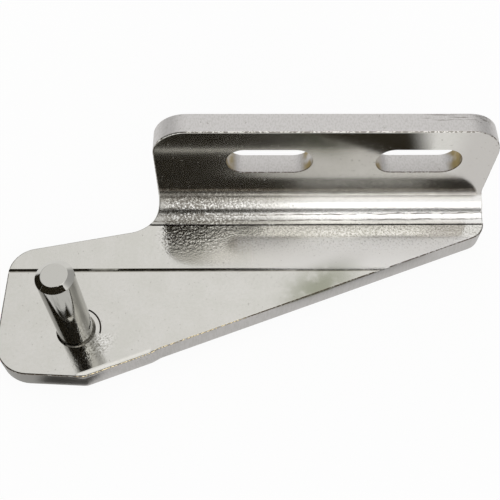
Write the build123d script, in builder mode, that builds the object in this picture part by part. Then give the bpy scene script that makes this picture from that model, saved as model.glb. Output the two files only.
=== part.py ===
from build123d import *
import os

# Frame: the pivot axis is Z, the plate's upper face is Z = 0, the bend runs along X, the flange is on +Y.

# Folded sheet
sheet_thickness = 4.18
bend_inside_radius = 4.0
flange_front = 26.74
flange_top = 23.0
flange_left = 13.95
flange_inset = 1.0
flange_corner_radius = 6.3
shoulder_low = 1.5
shoulder_high = 5.0
shoulder_radius = 4.0
die_roll = 0.3

# Plan of the plate
plate_left = -14.05
plate_right = 77.9
front_left_reach = 8.2
front_corner = (2.2, -8.8)
right_corner_reach = 20.35
tab_end = 13.6
tab_step = 0.35
tab_run = 1.6
arm_rear_left = 16.4
arm_rear_right = 22.0
front_left_radius = 6.5
front_corner_radius = 2.0
right_corner_radius = 4.0
arm_rear_radius = 5.3
neck_radius = 6.8
tab_radius = 3.0

# Screw slots
slot_length = 15.94
slot_width = 6.74
slot_height = 14.67
first_slot = 35.17
slot_spacing = 27.48

# Pressed lines across the plate
line_width = 0.8
line_depth = 0.24
front_line = 12.33

# Pivot pin and its seat
pin_radius = 3.175
pin_height = 20.0
nose_chamfer = 0.995
nose_length = 0.7
nose_edge = 0.2
seat_chamfer = 0.375
seat_depth = 0.15
tenon_shoulder = 0.775
rivet_flare = 1.2
rivet_depth = 1.2

# Crescent gap beside the foot of the pin
gap_offset = 0.85
gap_width = 0.3
gap_depth = 0.5
gap_start = -10
gap_arc = 75

# Derived places
plate_underside = -sheet_thickness
flange_rear = flange_front + sheet_thickness
flange_right = plate_right - flange_inset
bend_outside_radius = bend_inside_radius + sheet_thickness
bend_start = flange_front - bend_inside_radius
plate_length = plate_right - plate_left
front_reach = tab_step - front_corner[1]
front_slope = (right_corner_reach - front_corner[1]) / (plate_right - front_corner[0])
tab_reach = front_corner[1] + front_slope * (tab_end - front_corner[0])
nose_radius = pin_radius - nose_chamfer
seat_radius = pin_radius + seat_chamfer
tenon_radius = pin_radius - tenon_shoulder
rivet_radius = tenon_radius + rivet_flare
gap_radius = seat_radius + gap_offset

# Plan corners, anticlockwise from the front left, each with its own radius
plan_corners = [
    ((plate_left, -front_left_reach), front_left_radius),
    ((front_corner[0], -front_reach), front_corner_radius),
    ((tab_end, tab_reach - tab_step), tab_radius),
    ((tab_end + tab_run, tab_reach + front_slope * tab_run), tab_radius),
    ((plate_right, right_corner_reach), right_corner_radius),
    ((plate_right, flange_rear), 0),
    ((flange_left, flange_rear), 0),
    ((flange_left, arm_rear_right), neck_radius),
    ((plate_left, arm_rear_left), arm_rear_radius),
]

# Front elevation: on the right the flange stands in a little from the end of the bend
elevation_corners = [
    ((plate_left, plate_underside), 0),
    ((plate_right, plate_underside), 0),
    ((plate_right, shoulder_low), shoulder_radius),
    ((flange_right, shoulder_high), shoulder_radius),
    ((flange_right, flange_top), flange_corner_radius),
    ((plate_left, flange_top), 0),
]

with BuildPart() as hinge_plate:
    # One sheet folded round the bend
    with BuildSketch(Plane.YZ.offset(plate_left)):
        with BuildLine():
            FilletPolyline(
                (-front_reach, 0),
                (flange_front, 0),
                (flange_front, flange_top),
                (flange_rear, flange_top),
                (flange_rear, plate_underside),
                (-front_reach, plate_underside),
                radius=[0, bend_inside_radius, 0, 0, bend_outside_radius, 0],
                close=True,
            )
        make_face()
    extrude(amount=plate_length)

    # The blank's outline
    with BuildSketch(Plane.XY.offset(plate_underside)):
        with BuildLine():
            FilletPolyline(
                *[corner for corner, radius in plan_corners],
                radius=[radius for corner, radius in plan_corners],
                close=True,
            )
        make_face()
    extrude(amount=sheet_thickness + flange_top, mode=Mode.INTERSECT)

    # Flange ends and corners
    with BuildSketch(Plane.XZ.offset(-flange_rear)):
        with BuildLine():
            FilletPolyline(
                *[corner for corner, radius in elevation_corners],
                radius=[radius for corner, radius in elevation_corners],
                close=True,
            )
        make_face()
    extrude(amount=flange_rear + front_reach, mode=Mode.INTERSECT)
    left_corner = hinge_plate.edges().filter_by(Axis.Y).group_by(Axis.Z)[-1].sort_by(Axis.X)[0]
    fillet(left_corner, flange_corner_radius)

    # Die roll along the edge of the upper skin, through the bend
    plate_skin = hinge_plate.faces().filter_by(Plane.XY).sort_by(Axis.Z)[1]
    bend_skin = hinge_plate.faces().filter_by(GeomType.CYLINDER).filter_by(
        lambda face: abs(face.radius - bend_inside_radius) < 0.001
    ).sort_by(SortBy.AREA)[-1]
    flange_skin = hinge_plate.faces().filter_by(Plane.XZ).sort_by(Axis.Y)[0]
    skin_edge = (
        (plate_skin.edges() - bend_skin.edges())
        + (bend_skin.edges() - plate_skin.edges() - flange_skin.edges())
        + (flange_skin.edges() - bend_skin.edges())
    )
    fillet(skin_edge, die_roll)

    # Screw slots
    with BuildSketch(Plane.XZ.offset(-flange_rear)):
        with Locations((first_slot, slot_height), (first_slot + slot_spacing, slot_height)):
            SlotOverall(slot_length, slot_width)
    extrude(amount=sheet_thickness, mode=Mode.SUBTRACT)

    # Pressed lines
    with BuildSketch(Plane.YZ.offset(plate_left)):
        with Locations((front_line, 0), (bend_start, 0)):
            Polygon((-line_width / 2, 0), (0, -line_depth), (line_width / 2, 0), align=None)
    extrude(amount=plate_length, mode=Mode.SUBTRACT)

    # Pin seat, tenon hole and rivet countersink
    with BuildSketch(Plane.XZ):
        with BuildLine():
            Polyline(
                (0, 0),
                (seat_radius, 0),
                (pin_radius, -seat_depth),
                (tenon_radius, -seat_depth),
                (tenon_radius, plate_underside + rivet_depth),
                (rivet_radius, plate_underside),
                (0, plate_underside),
                close=True,
            )
        make_face()
    revolve(axis=Axis.Z, mode=Mode.SUBTRACT)
    gap_x = Vector(1, 0, 0).rotate(Axis.Z, gap_start)
    with BuildSketch(Plane((0, 0, 0), x_dir=gap_x, z_dir=gap_x.cross(Vector(0, 0, 1)))):
        with Locations((gap_radius, -gap_depth / 2)):
            Rectangle(gap_width, gap_depth)
    revolve(axis=Axis.Z, revolution_arc=gap_arc, mode=Mode.SUBTRACT)

with BuildPart() as pivot_pin:
    with BuildSketch(Plane.XZ):
        with BuildLine():
            Polyline(
                (0, pin_height),
                (nose_radius, pin_height),
                (pin_radius, pin_height - nose_length),
                (pin_radius, -seat_depth),
                (tenon_radius, -seat_depth),
                (tenon_radius, plate_underside + rivet_depth),
                (rivet_radius, plate_underside),
                (0, plate_underside),
                close=True,
            )
        make_face()
    revolve(axis=Axis.Z)
    fillet(pivot_pin.edges().group_by(Axis.Z)[-1], nose_edge)

hinge_plate.part.label = "hinge_plate"
pivot_pin.part.label = "pivot_pin"

os.makedirs("parts", exist_ok=True)
export_step(hinge_plate.part, "parts/hinge_plate.step")
export_step(pivot_pin.part, "parts/pivot_pin.step")
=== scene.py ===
import math
import bpy
from mathutils import Matrix, Vector


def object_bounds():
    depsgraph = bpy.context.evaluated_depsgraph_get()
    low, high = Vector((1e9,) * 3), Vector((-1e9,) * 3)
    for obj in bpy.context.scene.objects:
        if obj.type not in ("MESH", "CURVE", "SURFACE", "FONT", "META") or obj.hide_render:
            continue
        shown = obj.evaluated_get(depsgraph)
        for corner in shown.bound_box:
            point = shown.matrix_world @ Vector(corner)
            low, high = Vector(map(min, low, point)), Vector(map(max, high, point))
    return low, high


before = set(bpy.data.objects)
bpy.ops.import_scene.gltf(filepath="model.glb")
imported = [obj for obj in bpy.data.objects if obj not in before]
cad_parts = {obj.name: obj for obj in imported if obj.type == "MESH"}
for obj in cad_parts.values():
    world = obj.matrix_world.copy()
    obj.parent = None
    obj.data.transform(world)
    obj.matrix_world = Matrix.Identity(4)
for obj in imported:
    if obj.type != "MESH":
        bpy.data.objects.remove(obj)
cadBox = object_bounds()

mm = 0.001
scene = bpy.context.scene
scene.view_settings.view_transform = "Standard"
print("frame loaded:", ", ".join(sorted(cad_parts)))


# helpers for node trees

def addNode(tree, kind, **values):
    node = tree.nodes.new(kind)
    for name, value in values.items():
        setattr(node, name, value)
    return node


def feed(tree, socket, value):
    if isinstance(value, (int, float)):
        socket.default_value = value
    elif isinstance(value, tuple):
        size = len(socket.default_value)
        socket.default_value = value + (1.0,) * (size - len(value))      # a colour gets its alpha
    else:
        tree.links.new(value, socket)


def mathNode(tree, operation, *values):
    node = addNode(tree, "ShaderNodeMath", operation=operation)
    for socket, value in zip(node.inputs, values):
        feed(tree, socket, value)
    return node.outputs[0]


def mathChain(tree, operation, values):
    result = values[0]
    for value in values[1:]:
        result = mathNode(tree, operation, result, value)
    return result


def product(tree, *values):
    return mathChain(tree, "MULTIPLY", values)


def addUp(tree, *values):
    return mathChain(tree, "ADD", values)


def largest(tree, *values):
    return mathChain(tree, "MAXIMUM", values)


def noiseNode(tree, vector, scale, detail=2.0, roughness=0.5, stretch=(1.0, 1.0, 1.0)):
    mapping = addNode(tree, "ShaderNodeMapping")
    feed(tree, mapping.inputs["Scale"], stretch)
    feed(tree, mapping.inputs["Vector"], vector)
    node = addNode(tree, "ShaderNodeTexNoise")
    for name, value in (("Scale", scale), ("Detail", detail), ("Roughness", roughness)):
        feed(tree, node.inputs[name], value)
    feed(tree, node.inputs["Vector"], mapping.outputs["Vector"])
    return node.outputs["Fac"]


def mixValue(tree, factor, first, second):
    node = addNode(tree, "ShaderNodeMix", data_type="FLOAT")
    for index, value in ((0, factor), (2, first), (3, second)):      # the float sockets
        feed(tree, node.inputs[index], value)
    return node.outputs[0]


def mixColour(tree, factor, first, second):
    node = addNode(tree, "ShaderNodeMix", data_type="RGBA")
    for index, value in ((0, factor), (6, first), (7, second)):      # the colour sockets
        feed(tree, node.inputs[index], value)
    return node.outputs[2]


def rampNode(tree, value, stops):
    node = addNode(tree, "ShaderNodeValToRGB")
    points = node.color_ramp.elements
    while len(points) < len(stops):
        points.new(1.0)
    for point, (position, grey) in zip(points, stops):
        point.position = position
        point.color = (grey, grey, grey, 1.0)
    feed(tree, node.inputs[0], value)
    return node.outputs[0]


def splitVector(tree, vector):
    node = addNode(tree, "ShaderNodeSeparateXYZ")
    feed(tree, node.inputs[0], vector)
    return node.outputs


def vectorLength(tree, vector):
    node = addNode(tree, "ShaderNodeVectorMath", operation="LENGTH")
    feed(tree, node.inputs[0], vector)
    return node.outputs["Value"]


def coordinates(tree, name):
    return addNode(tree, "ShaderNodeTexCoord").outputs[name]


def placeInMm(tree):
    node = addNode(tree, "ShaderNodeVectorMath", operation="SCALE")
    feed(tree, node.inputs[0], coordinates(tree, "Object"))
    feed(tree, node.inputs["Scale"], 1.0 / mm)
    return node.outputs[0]


def newMetal(name):
    material = bpy.data.materials.new(name)
    material.use_nodes = True
    shader = material.node_tree.nodes["Principled BSDF"]
    feed(material.node_tree, shader.inputs["Metallic"], 1.0)
    return material, material.node_tree, shader


def addBump(tree, shader, height):
    bump = addNode(tree, "ShaderNodeBump")
    feed(tree, bump.inputs["Strength"], 1.0)
    feed(tree, bump.inputs["Distance"], mm)
    feed(tree, bump.inputs["Height"], height)
    feed(tree, shader.inputs["Normal"], bump.outputs["Normal"])


# kinds of rows in a mask; each reads one value

def within(tree, value):
    return value


def outside(tree, value):
    return mathNode(tree, "SUBTRACT", 1.0, value)


def scaled(tree, value, amount):
    return mathNode(tree, "MULTIPLY", value, amount)


def step(tree, value, low, high, newLow=0.0, newHigh=1.0):
    node = addNode(tree, "ShaderNodeMapRange", interpolation_type="SMOOTHSTEP")
    for socket, number in zip(node.inputs, (value, low, high, newLow, newHigh)):
        feed(tree, socket, number)
    return node.outputs[0]


def band(tree, value, start, end, soft):
    rise = step(tree, value, start - soft, start + soft)
    return product(tree, rise, step(tree, value, end - soft, end + soft, 1.0, 0.0))


def makeMask(tree, source, rows):
    if isinstance(rows, tuple):
        return largest(tree, *(source[name] for name in rows))
    return product(tree, *(kind(tree, source[name], *numbers) for kind, name, *numbers in rows))


# plating, shared by the sheet and the pin; noises are cells per mm, detail, roughness

plating = {
    "grain": (3.2, 1.5, 0.5),
    "cloud": (0.16, 2.0, 0.5),
    "cloudStep": (0.3, 0.7),
    "pits": (1.9, 3.0, 0.6),
    "pitStep": (0.66, 0.74),
}


def makePlatingGroup():
    group = bpy.data.node_groups.new("platingTexture", "ShaderNodeTree")
    group.interface.new_socket("Place", in_out="INPUT", socket_type="NodeSocketVector")
    for name in ("Grain", "Cloud", "Pits"):
        group.interface.new_socket(name, in_out="OUTPUT", socket_type="NodeSocketFloat")
    place = addNode(group, "NodeGroupInput").outputs["Place"]
    end = addNode(group, "NodeGroupOutput")
    feed(group, end.inputs["Grain"], noiseNode(group, place, *plating["grain"]))
    cloud = noiseNode(group, place, *plating["cloud"])
    feed(group, end.inputs["Cloud"], step(group, cloud, *plating["cloudStep"]))
    pits = noiseNode(group, place, *plating["pits"])
    feed(group, end.inputs["Pits"], step(group, pits, *plating["pitStep"]))
    return group


platingGroup = makePlatingGroup()


def addPlating(tree, place):
    node = addNode(tree, "ShaderNodeGroup", node_tree=platingGroup)
    feed(tree, node.inputs["Place"], place)
    return node.outputs


# the folded sheet; places and heights in mm
# the rows of a mask are multiplied; a mask that lists names is the largest of them
# step: low, high, value at low, value at high; band: from, to, softness; scaled: factor

sheet = {
    "edgePoint": (2.2, -8.8),      # on the slanted front edge
    "edgeSlope": 0.385,
    "drawnWave": -0.5,             # how far the lines along the bend wander, and how they slope
    "drawnSlope": -0.006,
    "polish": 0.09,                # roughness of the bare plating
    "noises": {                    # cells per mm, detail, roughness, stretch
        "streak": (0.55, 3.0, 0.6, (1.0, 0.05, 0.05)),
        "shear": (3.6, 2.0, 0.5, (1.0, 0.5, 0.12)),
        "scratch": (1.0, 2.0, 0.6, (0.22, 5.0, 1.0)),
        "patch": (0.32, 2.0, 0.5),
        "speck": (2.6, 1.0, 0.5),
        "hammer": (1.6, 2.0, 0.6),
        "grit": (2.6, 2.0, 0.6),
    },
    "colours": {
        "nickel": (0.665, 0.65, 0.615),
        "nickelShade": (0.615, 0.605, 0.56),
        "satin": (0.92, 0.905, 0.885),
        "glint": (1.0, 0.99, 0.98),
        # light grit specks, and the painted highlight on the bend's right
        "brightGritAndHighlight": (0.92, 0.91, 0.89),
        "darkGrit": (0.16, 0.145, 0.125),
        # painted shade for the bend's left part
        "bendPaintedShade": (0.36, 0.35, 0.325),
        "flangeEndPaintedShade": (0.52, 0.50, 0.475),
        "cut": (0.64, 0.62, 0.61),
        "cutShade": (0.57, 0.555, 0.535),
        "cutPaintedShade": (0.26, 0.25, 0.23),
        # dark brown for painted shade along the rolled edges, and for nicks and pits
        "rim": (0.10, 0.075, 0.055),
        "gold": (0.36, 0.28, 0.13),
        "bead": (0.80, 0.68, 0.45),
        "smear": (0.28, 0.29, 0.215),
        # dark brown of the painted shade in recesses
        "recessShade": (0.035, 0.026, 0.02),
    },
    "masks": {
        "plate": [(step, "y", 22.34, 23.14, 1.0, 0.0)],      # up to the bend
        "upper": [(within, "plate"), (step, "z", -1.0, -0.3)],
        "flange": [(step, "z", 3.5, 4.5)],
        "plateCut": [(within, "plate"), (step, "steepZ", 0.15, 0.45, 1.0, 0.0)],
        "flangeCut": [(within, "flange"), (step, "steepY", 0.15, 0.45, 1.0, 0.0)],
        "endCut": [(step, "steepX", 0.8, 0.92)],
        "cut": ("plateCut", "flangeCut", "endCut"),
        "frontLine": [(band, "y", 11.83, 12.83, 0.1)],
        "rimPlate": [
            (within, "plate"),
            (band, "steepZ", 0.40, 0.93, 0.06),
            (outside, "frontLine"),
        ],
        "rimFlange": [(within, "flange"), (band, "steepY", 0.40, 0.93, 0.06)],
        "middle": [(band, "y", 12.33, 22.74, 0.25)],      # between the pressed lines
        "nearBend": [
            (step, "y", 14.33, 20.24),
            (step, "z", 3.5, 4.5, 1.0, 0.0),
            (step, "normalY", 0.0, 0.1, 1.0, 0.0),
            (step, "normalZ", -0.1, 0.0),
        ],
        "bend": [(within, "nearBend"), (outside, "plate")],
        "satin": [
            (within, "upper"),
            (band, "y", 12.6, 19.5, 0.8),
            (step, "x", 18.0, 48.0),
        ],
        "soft": [                  # a duller front half, on the right
            (within, "upper"),
            (step, "x", 22.0, 30.0),
            (band, "y", 4.0, 12.6, 2.0),
        ],
        "foot": [                  # hammered patch before the pin
            (within, "upper"),
            (step, "radius", 5.0, 8.5, 1.0, 0.0),
            (step, "y", -2.0, 0.0, 1.0, 0.0),
            (step, "x", -1.0, 2.0),
        ],
        "cloudShade": [(scaled, "cloud", 0.6)],
        "hammerShade": [(step, "hammer", 0.35, 0.65, 0.0, 0.4)],
        "gritLift": [(within, "bend"), (step, "x", 22.0, 40.0, 0.09, 0.0)],
        "gritLoss": [(outside, "plate"), (step, "x", 24.0, 44.0, 0.0, 0.7)],
        "gritStrip": [
            (within, "nearBend"),
            (step, "x", 20.0, 36.0, 0.9, 0.34),
            (step, "x", 13.0, 17.0),
            (outside, "gritLoss"),
        ],
        "gritFoot": [(scaled, "foot", 0.7)],
        "gritArea": ("gritStrip", "gritFoot"),
        "lowLine": [(band, "drawn", 22.89, 23.11, 0.05)],
        "highLine": [(band, "drawn", 23.99, 24.21, 0.05)],
        "dieLines": ("lowLine", "highLine"),
        "slots": [(within, "cut"), (within, "flange"), (band, "x", 26.5, 71.5, 0.5)],
        # painted shade along the rolled edges, broken into dots on the flange
        "plateRim": [(within, "rimPlate"), (step, "speck", 0.34, 0.5, 0.35, 1.0)],
        "flangeRim": [(within, "rimFlange"), (step, "speck", 0.45, 0.52, 0.0, 0.8)],
        "rim": ("plateRim", "flangeRim"),
        # painted shade on the far wall of the pressed front line
        "lineRecessShade": [
            (band, "z", -0.9, -0.14, 0.04),
            (step, "normalY", -0.4, 0.1, 1.0, 0.0),
            (outside, "cut"),
            (step, "streak", 0.3, 0.55, 0.25, 0.7),
        ],
        # painted shade in the gap beside the pin
        "gapRecessShade": [              # in the crescent gap beside the pin
            (within, "plate"),
            (band, "radius", 4.2, 4.6, 0.02),
            (step, "z", -0.05, -0.01, 1.0, 0.0),
        ],
        "recessShade": ("lineRecessShade", "gapRecessShade"),
    },
    "skinMarks": [                 # colour and mask rows, painted in this order
        ("nickelShade", [(within, "middle"), (step, "streak", 0.42, 0.62, 0.0, 0.5)]),
        ("bead", [                 # scratches behind the front line
            (within, "upper"),
            (band, "x", 50.0, 63.0, 1.5),
            (band, "y", 12.9, 15.4, 0.4),
            (step, "scratch", 0.56, 0.62),
        ]),
        ("satin", [(within, "satin")]),
        # painted shade on the bend, deepest at its left
        ("bendPaintedShade", [(within, "bend"), (step, "x", 28.0, 44.0, 0.6, 0.0)]),
        # painted highlight on the bend's right part
        ("brightGritAndHighlight", [(within, "bend"), (step, "x", 34.0, 48.0, 0.0, 0.8)]),
        ("darkGrit", [
            (within, "bend"),
            (within, "dieLines"),
            (step, "streak", 0.35, 0.6, 0.35, 0.95),
        ]),
        # painted shade on the flange's right end
        ("flangeEndPaintedShade", [(within, "flange"), (step, "x", 66.0, 72.0, 0.0, 0.9)]),
        ("glint", [
            (within, "upper"),
            (band, "y", 16.8, 21.8, 1.2),
            (band, "x", 43.0, 66.0, 6.0),
            (step, "hammer", 0.44, 0.60, 0.15, 0.75),
        ]),
        ("darkGrit", [(within, "gritArea"), (step, "grit", 0.56, 0.62)]),
        ("brightGritAndHighlight", [(within, "gritArea"), (step, "grit", 0.43, 0.49, 1.0, 0.0)]),
    ],
    "cutMarks": [
        ("cutShade", [(step, "shear", 0.4, 0.65)]),
        # painted shade on the plate's cut faces, deepest at the left
        ("cutPaintedShade", [(within, "plate"), (step, "x", -3.0, 6.0, 1.0, 0.38)]),
    ],
    # wear, and painted shade along edges and in recesses
    "wearAndShadeMarks": [
        ("gold", [                 # ends of the slots
            (within, "slots"),
            (step, "steepX", 0.35, 0.8),
            (step, "patch", 0.32, 0.6),
        ]),
        ("rim", [                  # nicks along the top of the flange
            (within, "cut"),
            (band, "x", 63.0, 75.0, 2.0),
            (band, "y", 29.4, 30.9, 0.2),
            (step, "z", 21.0, 22.0),
            (step, "scratch", 0.54, 0.60, 0.0, 0.8),
        ]),
        ("rim", [                  # lips of the slots
            (within, "slots"),
            (band, "z", 10.5, 18.6, 0.2),
            (band, "y", 26.6, 26.98, 0.08),
            (step, "speck", 0.36, 0.5, 0.3, 0.9),
        ]),
        ("smear", [
            (within, "upper"),
            (band, "x", 39.0, 50.0, 5.0),
            (step, "edge", 1.5, 7.5, 1.0, 0.0),
            (step, "patch", 0.15, 0.55, 0.0, 0.85),
        ]),
        ("rim", [(scaled, "pits", 0.6)]),
        # painted shade along the rolled edges
        ("rim", [(within, "rim")]),
        ("bead", [                 # beads of plating along the tab's edge
            (within, "plate"),
            (within, "rimPlate"),
            (band, "x", 1.5, 30.0, 1.5),
            (band, "edge", -0.5, 0.3, 0.1),
            (step, "speck", 0.46, 0.53),
        ]),
        # painted shade in the pressed line and in the gap beside the pin
        ("recessShade", [(within, "recessShade")]),
    ],
    "roughness": [                 # mask and roughness, in this order over the polish
        ("soft", 0.15),
        ("satin", 0.5),
        ("flange", 0.11),
        ("bend", 0.25),
        ("pits", 0.3),
        ("cut", 0.45),
    ],
    "heights": [                   # mask rows, added up
        [(scaled, "grain", 0.0016)],
        [(within, "hammer"), (within, "nearBend"), (step, "x", 18.0, 32.0, 0.04, 0.006)],
        [(within, "hammer"), (scaled, "satin", 0.012)],
        [(within, "hammer"), (scaled, "foot", 0.03)],
        [                          # rolled edge of the tab
            (within, "upper"),
            (band, "x", 1.0, 14.0, 0.5),
            (step, "edge", -0.3, 0.9, -0.17, 0.0),
        ],
        [(within, "streak"), (scaled, "middle", 0.006)],
        [(within, "shear"), (scaled, "cut", 0.014)],
        [(within, "speck"), (scaled, "rimFlange", 0.03)],
        [(scaled, "pits", -0.006)],
    ],
}


def sheetPlaces(tree, place):
    x, y, z = splitVector(tree, place)
    normal = splitVector(tree, addNode(tree, "ShaderNodeNewGeometry").outputs["Normal"])
    flat = addNode(tree, "ShaderNodeVectorMath", operation="MULTIPLY")
    feed(tree, flat.inputs[0], place)
    feed(tree, flat.inputs[1], (1.0, 1.0, 0.0))
    edgeX, edgeY = sheet["edgePoint"]
    slope = sheet["edgeSlope"]
    slanted = mathNode(tree, "MULTIPLY_ADD", x, slope, edgeY - edgeX * slope)
    places = {
        "x": x,
        "y": y,
        "z": z,
        "normalY": normal[1],
        "normalZ": normal[2],
        "radius": vectorLength(tree, flat.outputs[0]),      # from the pin's axis
        "edge": mathNode(tree, "SUBTRACT", y, slanted),      # behind the slanted edge
    }
    for name, part in zip(("steepX", "steepY", "steepZ"), normal):
        places[name] = mathNode(tree, "ABSOLUTE", part)
    return places


def sheetSources(tree):
    place = placeInMm(tree)
    source = sheetPlaces(tree, place)
    for output in addPlating(tree, place):
        source[output.name.lower()] = output
    for name, numbers in sheet["noises"].items():
        source[name] = noiseNode(tree, place, *numbers)
    source["drawn"] = addUp(
        tree,
        source["y"],
        product(tree, source["patch"], sheet["drawnWave"]),
        product(tree, source["x"], sheet["drawnSlope"]),
    )
    for name, rows in sheet["masks"].items():
        source[name] = makeMask(tree, source, rows)
    source["grit"] = addUp(tree, source["grit"], source["gritLift"])
    return source


def paint(tree, source, colour, marks):
    for name, rows in marks:
        colour = mixColour(tree, makeMask(tree, source, rows), colour, sheet["colours"][name])
    return colour


def makeSheetMaterial():
    material, tree, shader = newMetal("brightPlatedSheet")
    source = sheetSources(tree)
    colours = sheet["colours"]
    mottle = addUp(tree, source["cloudShade"], source["hammerShade"])
    colour = mixColour(tree, mottle, colours["nickel"], colours["nickelShade"])
    colour = paint(tree, source, colour, sheet["skinMarks"])
    cutColour = paint(tree, source, colours["cut"], sheet["cutMarks"])
    colour = mixColour(tree, source["cut"], colour, cutColour)
    colour = paint(tree, source, colour, sheet["wearAndShadeMarks"])
    feed(tree, shader.inputs["Base Color"], colour)
    roughness = sheet["polish"]
    for name, value in sheet["roughness"]:
        roughness = mixValue(tree, source[name], roughness, value)
    feed(tree, shader.inputs["Roughness"], roughness)
    heights = [makeMask(tree, source, rows) for rows in sheet["heights"]]
    addBump(tree, shader, addUp(tree, *heights))
    return material


# the riveted pin

pin = {
    "nickel": (0.55, 0.54, 0.505),
    # darker copy of the tip's nickel: painted shade on the sides
    "paintedSideShade": (0.41, 0.405, 0.375),
    # painted dark reflection streaks down the sides
    "shade": (0.31, 0.305, 0.28),
    "roughness": (0.06, 0.13),     # bright, and in the streaks
    "streak": (1.1, 3.0, 0.6, (1.0, 1.0, 0.09)),      # cells per mm, detail, roughness, stretch
    "streakStep": (0.44, 0.64),
    "sideStep": (0.8, 0.3),        # upward share of the normal, from the tip to the side
    "grainHeight": 0.0022,
    "streakHeight": 0.003,
}


def makePinMaterial():
    material, tree, shader = newMetal("platedPin")
    place = placeInMm(tree)
    grain = addPlating(tree, place)["Grain"]
    streak = noiseNode(tree, place, *pin["streak"])
    normal = splitVector(tree, addNode(tree, "ShaderNodeNewGeometry").outputs["Normal"])
    tip, flank = pin["sideStep"]
    side = step(tree, normal[2], flank, tip, 1.0, 0.0)
    # painted dark reflection streaks on the sides
    mark = product(tree, step(tree, streak, *pin["streakStep"]), side)
    # painted shade: the sides darker than the tip
    colour = mixColour(tree, side, pin["nickel"], pin["paintedSideShade"])
    feed(tree, shader.inputs["Base Color"], mixColour(tree, mark, colour, pin["shade"]))
    feed(tree, shader.inputs["Roughness"], mixValue(tree, mark, *pin["roughness"]))
    height = product(tree, grain, pin["grainHeight"])
    addBump(tree, shader, addUp(tree, height, product(tree, streak, pin["streakHeight"])))
    return material


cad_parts["hinge_plate"].material_slots[0].material = makeSheetMaterial()
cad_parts["pivot_pin"].material_slots[0].material = makePinMaterial()
print("finishes made")


# studio: pale floor, white tent, black flags round the lens

studio = {
    "floorSize": 1.6,              # m
    "floorMiddle": (0.03, 0.01),
    "floorGap": 0.02,              # mm below the object
    "floorColour": (0.90, 0.90, 0.89),
    "floorWhite": 0.92,            # share of the floor that is plain white, by the object
    "floorFade": (0.06, 0.25),     # m from the middle, where that share rises to all of it
    "nearSide": (-0.35, 0.2),      # direction Y over which the near side's light fades out
    "backLight": [                 # light of the tent from left (0) to right (1), on the far side
        (0.0, 0.6),
        (0.25, 0.65),
        (0.34, 0.92),
        (0.5, 1.0),
        (0.665, 1.05),
        (0.76, 0.52),
        (1.0, 0.5),
    ],
    "frontLight": [                # the same on the near side
        (0.0, 0.5),
        (0.27, 0.5),
        (0.42, 0.9),
        (0.48, 1.65),
        (0.70, 1.65),
        (0.85, 0.7),
        (1.0, 0.6),
    ],
    "white": (1.0, 1.0, 1.0),
    "flagColour": (0.03, 0.025, 0.016),
    "cardSoftness": 0.1,           # soft share of a floor card's length at each end
    "floorCards": [                # mm: middle X, middle Y, length, width, slope
        (55.5, 2.1, 35.0, 12.0, 0.385),      # before the slanted edge, seen in the flange
        (0.0, -11.1, 16.0, 3.6, -0.05),      # before the front corner, seen in the pin
    ],
    "noseCard": (-45.0, 8.0, 35.0, 30.0, 44.0),      # mm: middle X, Y, Z, height, width
    "flags": [                     # mm in the lens plane: left, right, low, high
        (-220, 130, -13, 5),
        (-220, 130, -60, -19.5),
        (-220, 24, -22, -12),
        (76, 130, -22, -12),
        (-220, -10, 4, 20),
        (-220, -30, -60, 50),
        (-12, 10, -12, 11),
    ],
}


def makePaper():
    material = bpy.data.materials.new("palePaper")
    material.use_nodes = True
    tree = material.node_tree
    tree.nodes.remove(tree.nodes["Principled BSDF"])
    paper = addNode(tree, "ShaderNodeBsdfDiffuse")
    feed(tree, paper.inputs["Color"], studio["floorColour"])
    white = addNode(tree, "ShaderNodeEmission")
    path = addNode(tree, "ShaderNodeLightPath").outputs
    rays = [path[name] for name in ("Is Camera Ray", "Is Glossy Ray", "Is Transmission Ray")]
    away = vectorLength(tree, coordinates(tree, "Object"))
    share = step(tree, away, *studio["floorFade"], studio["floorWhite"], 1.0)
    mix = addNode(tree, "ShaderNodeMixShader")
    feed(tree, mix.inputs[0], product(tree, largest(tree, *rays), share))
    feed(tree, mix.inputs[1], paper.outputs[0])
    feed(tree, mix.inputs[2], white.outputs[0])
    feed(tree, tree.nodes["Material Output"].inputs["Surface"], mix.outputs[0])
    return material


def makeFloor():
    level = cadBox[0].z - studio["floorGap"] * mm
    bpy.ops.mesh.primitive_plane_add(size=studio["floorSize"], location=(*studio["floorMiddle"], level))
    floor = bpy.context.object
    floor.name = "paleFloor"
    floor.data.materials.append(makePaper())


def makeWorld():
    world = bpy.data.worlds.new("studioTent")
    scene.world = world
    world.use_nodes = True
    tree = world.node_tree
    direction = splitVector(tree, coordinates(tree, "Generated"))
    side = mathNode(tree, "MULTIPLY_ADD", direction[0], 0.5, 0.5)      # from -1..1 to 0..1
    back = rampNode(tree, side, studio["backLight"])
    front = rampNode(tree, side, studio["frontLight"])
    near = step(tree, direction[1], *studio["nearSide"], 1.0, 0.0)
    light = mixColour(tree, near, back, front)
    seen = addNode(tree, "ShaderNodeLightPath").outputs["Is Camera Ray"]
    feed(tree, tree.nodes["Background"].inputs["Color"], mixColour(tree, seen, light, studio["white"]))


makeFloor()
makeWorld()
print("studio set")


# camera, fitted to the object's outline; image taken as 500 x 500

cameraSettings = {
    "place": (29.03, -60.98, 127.62),      # mm
    "pitch": 58.647,                       # degrees
    "yaw": 1.929,
    "roll": 1.433,
    "focal": 775.39 / 500,                 # in image widths
    "sensor": 36.0,                        # mm
    "clipStart": 0.005,                    # m
}


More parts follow.
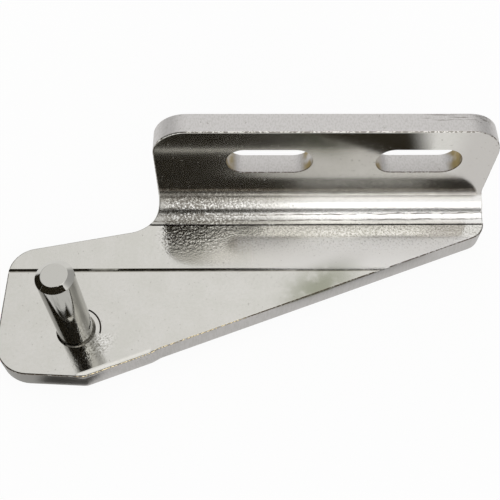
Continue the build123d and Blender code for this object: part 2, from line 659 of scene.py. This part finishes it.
def makeCamera():
    pitch, yaw, roll = (math.radians(cameraSettings[name]) for name in ("pitch", "yaw", "roll"))
    level = Vector((math.sin(yaw), math.cos(yaw), 0.0))
    ahead = level * math.cos(pitch) - Vector((0.0, 0.0, math.sin(pitch)))
    right = Vector((math.cos(yaw), -math.sin(yaw), 0.0))
    up = right.cross(ahead)
    turnedRight = right * math.cos(roll) + up * math.sin(roll)
    turnedUp = up * math.cos(roll) - right * math.sin(roll)
    data = bpy.data.cameras.new("photoCamera")
    data.sensor_width = cameraSettings["sensor"]
    data.lens = cameraSettings["focal"] * data.sensor_width
    data.clip_start = cameraSettings["clipStart"]
    camera = bpy.data.objects.new("photoCamera", data)
    scene.collection.objects.link(camera)
    turn = Matrix((turnedRight, turnedUp, -ahead)).transposed().to_4x4()
    camera.matrix_world = Matrix.Translation(Vector(cameraSettings["place"]) * mm) @ turn
    scene.camera = camera
    return camera


def makeFlagMaterial(name, softEnds):
    material = bpy.data.materials.new(name)
    material.use_nodes = True
    tree = material.node_tree
    shader = tree.nodes["Principled BSDF"]
    feed(tree, shader.inputs["Base Color"], studio["flagColour"])
    feed(tree, shader.inputs["Roughness"], 1.0)
    feed(tree, shader.inputs["Specular IOR Level"], 0.0)
    if softEnds:
        along = splitVector(tree, coordinates(tree, "Generated"))[0]
        feed(tree, shader.inputs["Alpha"], band(tree, along, softEnds, 1.0 - softEnds, softEnds))
    return material


def addFlag(length, width, place, material):
    bpy.ops.mesh.primitive_plane_add(size=1.0)
    flag = bpy.context.object
    flag.name = "blackFlag"
    flag.data.transform(place @ Matrix.Diagonal((length * mm, width * mm, 1.0, 1.0)))
    flag.data.materials.append(material)
    flag.visible_camera = False
    flag.visible_diffuse = False
    flag.visible_shadow = False


def makeFlags(camera):
    hard = makeFlagMaterial("flagBlack", 0.0)
    for left, right, low, high in studio["flags"]:
        middle = Matrix.Translation(((left + right) * mm / 2, (low + high) * mm / 2, 0.0))
        addFlag(right - left, high - low, camera.matrix_world @ middle, hard)
    x, y, z, height, width = studio["noseCard"]      # upright, to the left of the pin
    upright = Matrix.Translation((x * mm, y * mm, z * mm)) @ Matrix.Rotation(math.pi / 2, 4, "Y")
    addFlag(height, width, upright, hard)
    soft = makeFlagMaterial("cardBlack", studio["cardSoftness"])
    for x, y, length, width, slope in studio["floorCards"]:
        ground = Matrix.Translation((x * mm, y * mm, cadBox[0].z))
        addFlag(length, width, ground @ Matrix.Rotation(math.atan(slope), 4, "Z"), soft)


makeFlags(makeCamera())
print("camera and flags set")
